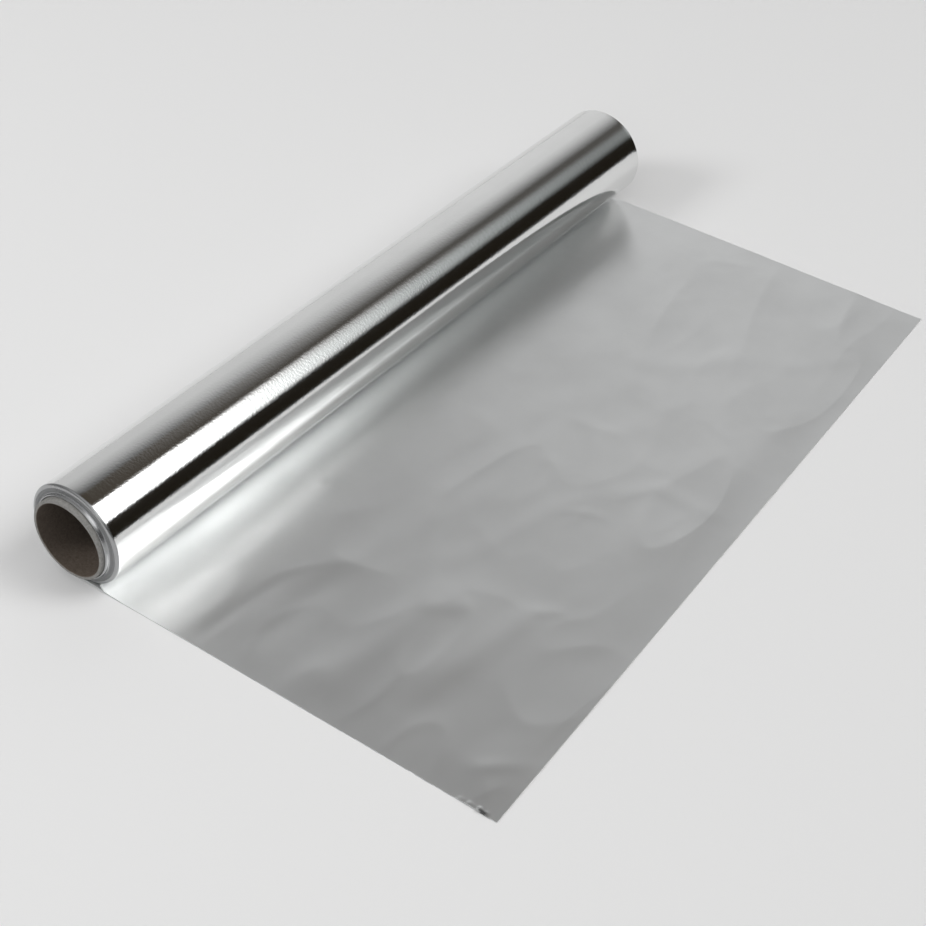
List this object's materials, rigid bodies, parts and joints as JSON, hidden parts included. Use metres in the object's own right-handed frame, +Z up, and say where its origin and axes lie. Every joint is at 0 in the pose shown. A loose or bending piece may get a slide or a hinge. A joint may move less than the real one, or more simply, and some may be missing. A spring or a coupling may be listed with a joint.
{
  "type": "aluminium foil roll",
  "caption": "Household aluminium foil wound on an open paperboard core, with a length of the web pulled out flat in front of the roll.",
  "frame": {"origin": "on the axis of the core's bore, halfway along the core", "axes": "+Y along the roll's axis, +X the way the web is pulled out, +Z up"},
  "size_m": [0.1768, 0.305, 0.0357],
  "materials": {
    "core_board": "plain greyish brown paperboard",
    "foil_metal": "bright rolled foil, slightly brushed along the web"
  },
  "bodies": {
    "root": {"core_tube": "core_board", "foil": "foil_metal"}
  },
  "joints": []
}
